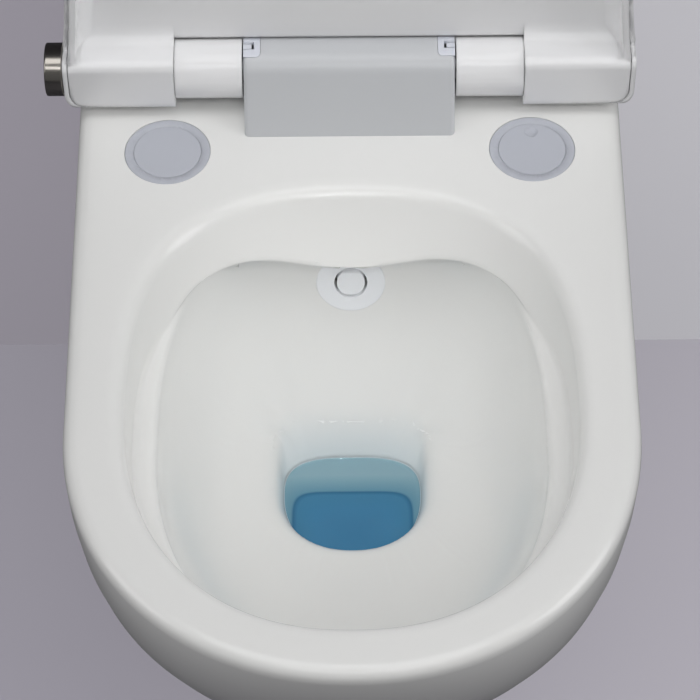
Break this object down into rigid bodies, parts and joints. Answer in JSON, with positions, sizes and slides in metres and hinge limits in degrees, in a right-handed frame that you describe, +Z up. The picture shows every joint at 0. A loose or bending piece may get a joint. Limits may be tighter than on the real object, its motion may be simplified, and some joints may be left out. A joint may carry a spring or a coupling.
{
  "type": "wall-hung shower toilet",
  "caption": "Wall-hung rimless toilet pan with built-in shower nozzle; its seat and lid turn on one hinge line and stand raised, with a side knob and two flush deck caps.",
  "frame": {"origin": "middle between the two wall bolt holes, on the wall face of the casting", "axes": "+X to the right as the user faces the pan from the front, +Y towards the wall, +Z up"},
  "size_m": [0.3842, 0.5798, 0.8265],
  "materials": {
    "china": "glossy",
    "white_plastic": "glossy",
    "grey_plastic": "satin",
    "cap_plastic": "satin",
    "clear_plastic": "translucent, satin",
    "nozzle_plastic": "glossy",
    "black_plastic": "matt",
    "gear_plastic": "matt",
    "soft_foot": "matt",
    "rubber": "matt",
    "steel": "brushed",
    "steel_plate": "satin",
    "knob_steel": "brushed",
    "brass": "plain"
  },
  "bodies": {
    "pan": {"bowl": "china", "hinge_base": "steel_plate", "hinge_cover": "grey_plastic", "latch_plate_left": "clear_plastic", "latch_plate_right": "clear_plastic", "hinge_axle": "steel", "hinge_bolts": "steel", "hinge_nuts": "steel", "knob_encoder": "black_plastic", "axle_end_cap": "black_plastic", "cap_ring_left": "cap_plastic", "cap_ring_right": "cap_plastic", "filler_cup": "grey_plastic", "switch_well": "grey_plastic", "nozzle_rosette": "nozzle_plastic", "nozzle_carrier": "grey_plastic", "nozzle_motor": "steel", "service_plate_left": "grey_plastic", "service_plate_right": "grey_plastic", "service_screws": "steel", "water_inlet_valve": "brass", "power_inlet": "black_plastic", "flow_heater": "black_plastic", "pressure_pump": "black_plastic", "control_box": "black_plastic", "fan_housing": "black_plastic", "outlet_seal": "rubber", "inlet_seal": "rubber"},
    "seat": {"seat": "white_plastic", "seat_bumpers": "soft_foot", "damper_left": "black_plastic", "damper_right": "black_plastic"},
    "lid": {"lid": "white_plastic", "lid_pads": "soft_foot", "lid_bushes": "black_plastic"},
    "knob": {"knob": "knob_steel", "knob_shaft": "steel"},
    "knob_button": {"knob_button": "knob_steel"},
    "left_cap": {"cap_disc_left": "cap_plastic"},
    "right_cap": {"cap_disc_right": "cap_plastic"},
    "left_clip": {"latch_clip_left": "clear_plastic"},
    "right_clip": {"latch_clip_right": "clear_plastic"},
    "nozzle": {"nozzle_tip": "nozzle_plastic", "nozzle_arm": "nozzle_plastic"},
    "pinion": {"nozzle_pinion": "gear_plastic"},
    "impeller": {"fan_impeller": "gear_plastic"},
    "rocker": {"switch_rocker": "black_plastic"}
  },
  "joints": [
    {"name": "lid_hinge", "type": "hinge", "parent": "pan", "child": "lid", "pos_m": [0, -0.1368, 0.106], "axis": [1, 0, 0], "range_deg": [0, 95]},
    {"name": "seat_hinge", "type": "hinge", "parent": "pan", "child": "seat", "pos_m": [0, -0.1368, 0.106], "axis": [1, 0, 0], "range_deg": [0, 95]},
    {"name": "knob_turn", "type": "hinge", "parent": "pan", "child": "knob", "pos_m": [-0.19, -0.1368, 0.106], "axis": [1, 0, 0], "continuous": true},
    {"name": "knob_push", "type": "slide", "parent": "knob", "child": "knob_button", "axis": [1, 0, 0], "range_m": [0, 0.0015], "stiffness_N_per_m": 1500, "springref_m": -0.001},
    {"name": "nozzle_slide", "type": "slide", "parent": "pan", "child": "nozzle", "axis": [0, -0.9903, -0.1392], "range_m": [0, 0.098]},
    {"name": "pinion_turn", "type": "hinge", "parent": "pan", "child": "pinion", "pos_m": [0, -0.17327, -0.00865], "axis": [1, 0, 0], "range_deg": [-700, 700]},
    {"name": "left_cap_lift", "type": "slide", "parent": "pan", "child": "left_cap", "axis": [0, 0, 1], "range_m": [0, 0.018]},
    {"name": "right_cap_lift", "type": "slide", "parent": "pan", "child": "right_cap", "axis": [0, 0, 1], "range_m": [0, 0.018]},
    {"name": "left_clip_slide", "type": "slide", "parent": "pan", "child": "left_clip", "axis": [1, 0, 0], "range_m": [0, 0.0015], "stiffness_N_per_m": 1500, "springref_m": -0.001},
    {"name": "right_clip_slide", "type": "slide", "parent": "pan", "child": "right_clip", "axis": [-1, 0, 0], "range_m": [0, 0.0015], "stiffness_N_per_m": 1500, "springref_m": -0.001},
    {"name": "fan_spin", "type": "hinge", "parent": "pan", "child": "impeller", "pos_m": [0.106, -0.03, -0.134], "axis": [0, 1, 0], "continuous": true},
    {"name": "switch_rock", "type": "hinge", "parent": "pan", "child": "rocker", "pos_m": [0.1184, -0.1863, 0.0525], "axis": [1, 0, 0], "range_deg": [0, 10]}
  ],
  "couplings": [
    {"joint": "seat_hinge", "follows": "lid_hinge", "ratio": 1},
    {"joint": "pinion_turn", "follows": "nozzle_slide", "rad_per_m": -111.11}
  ]
}
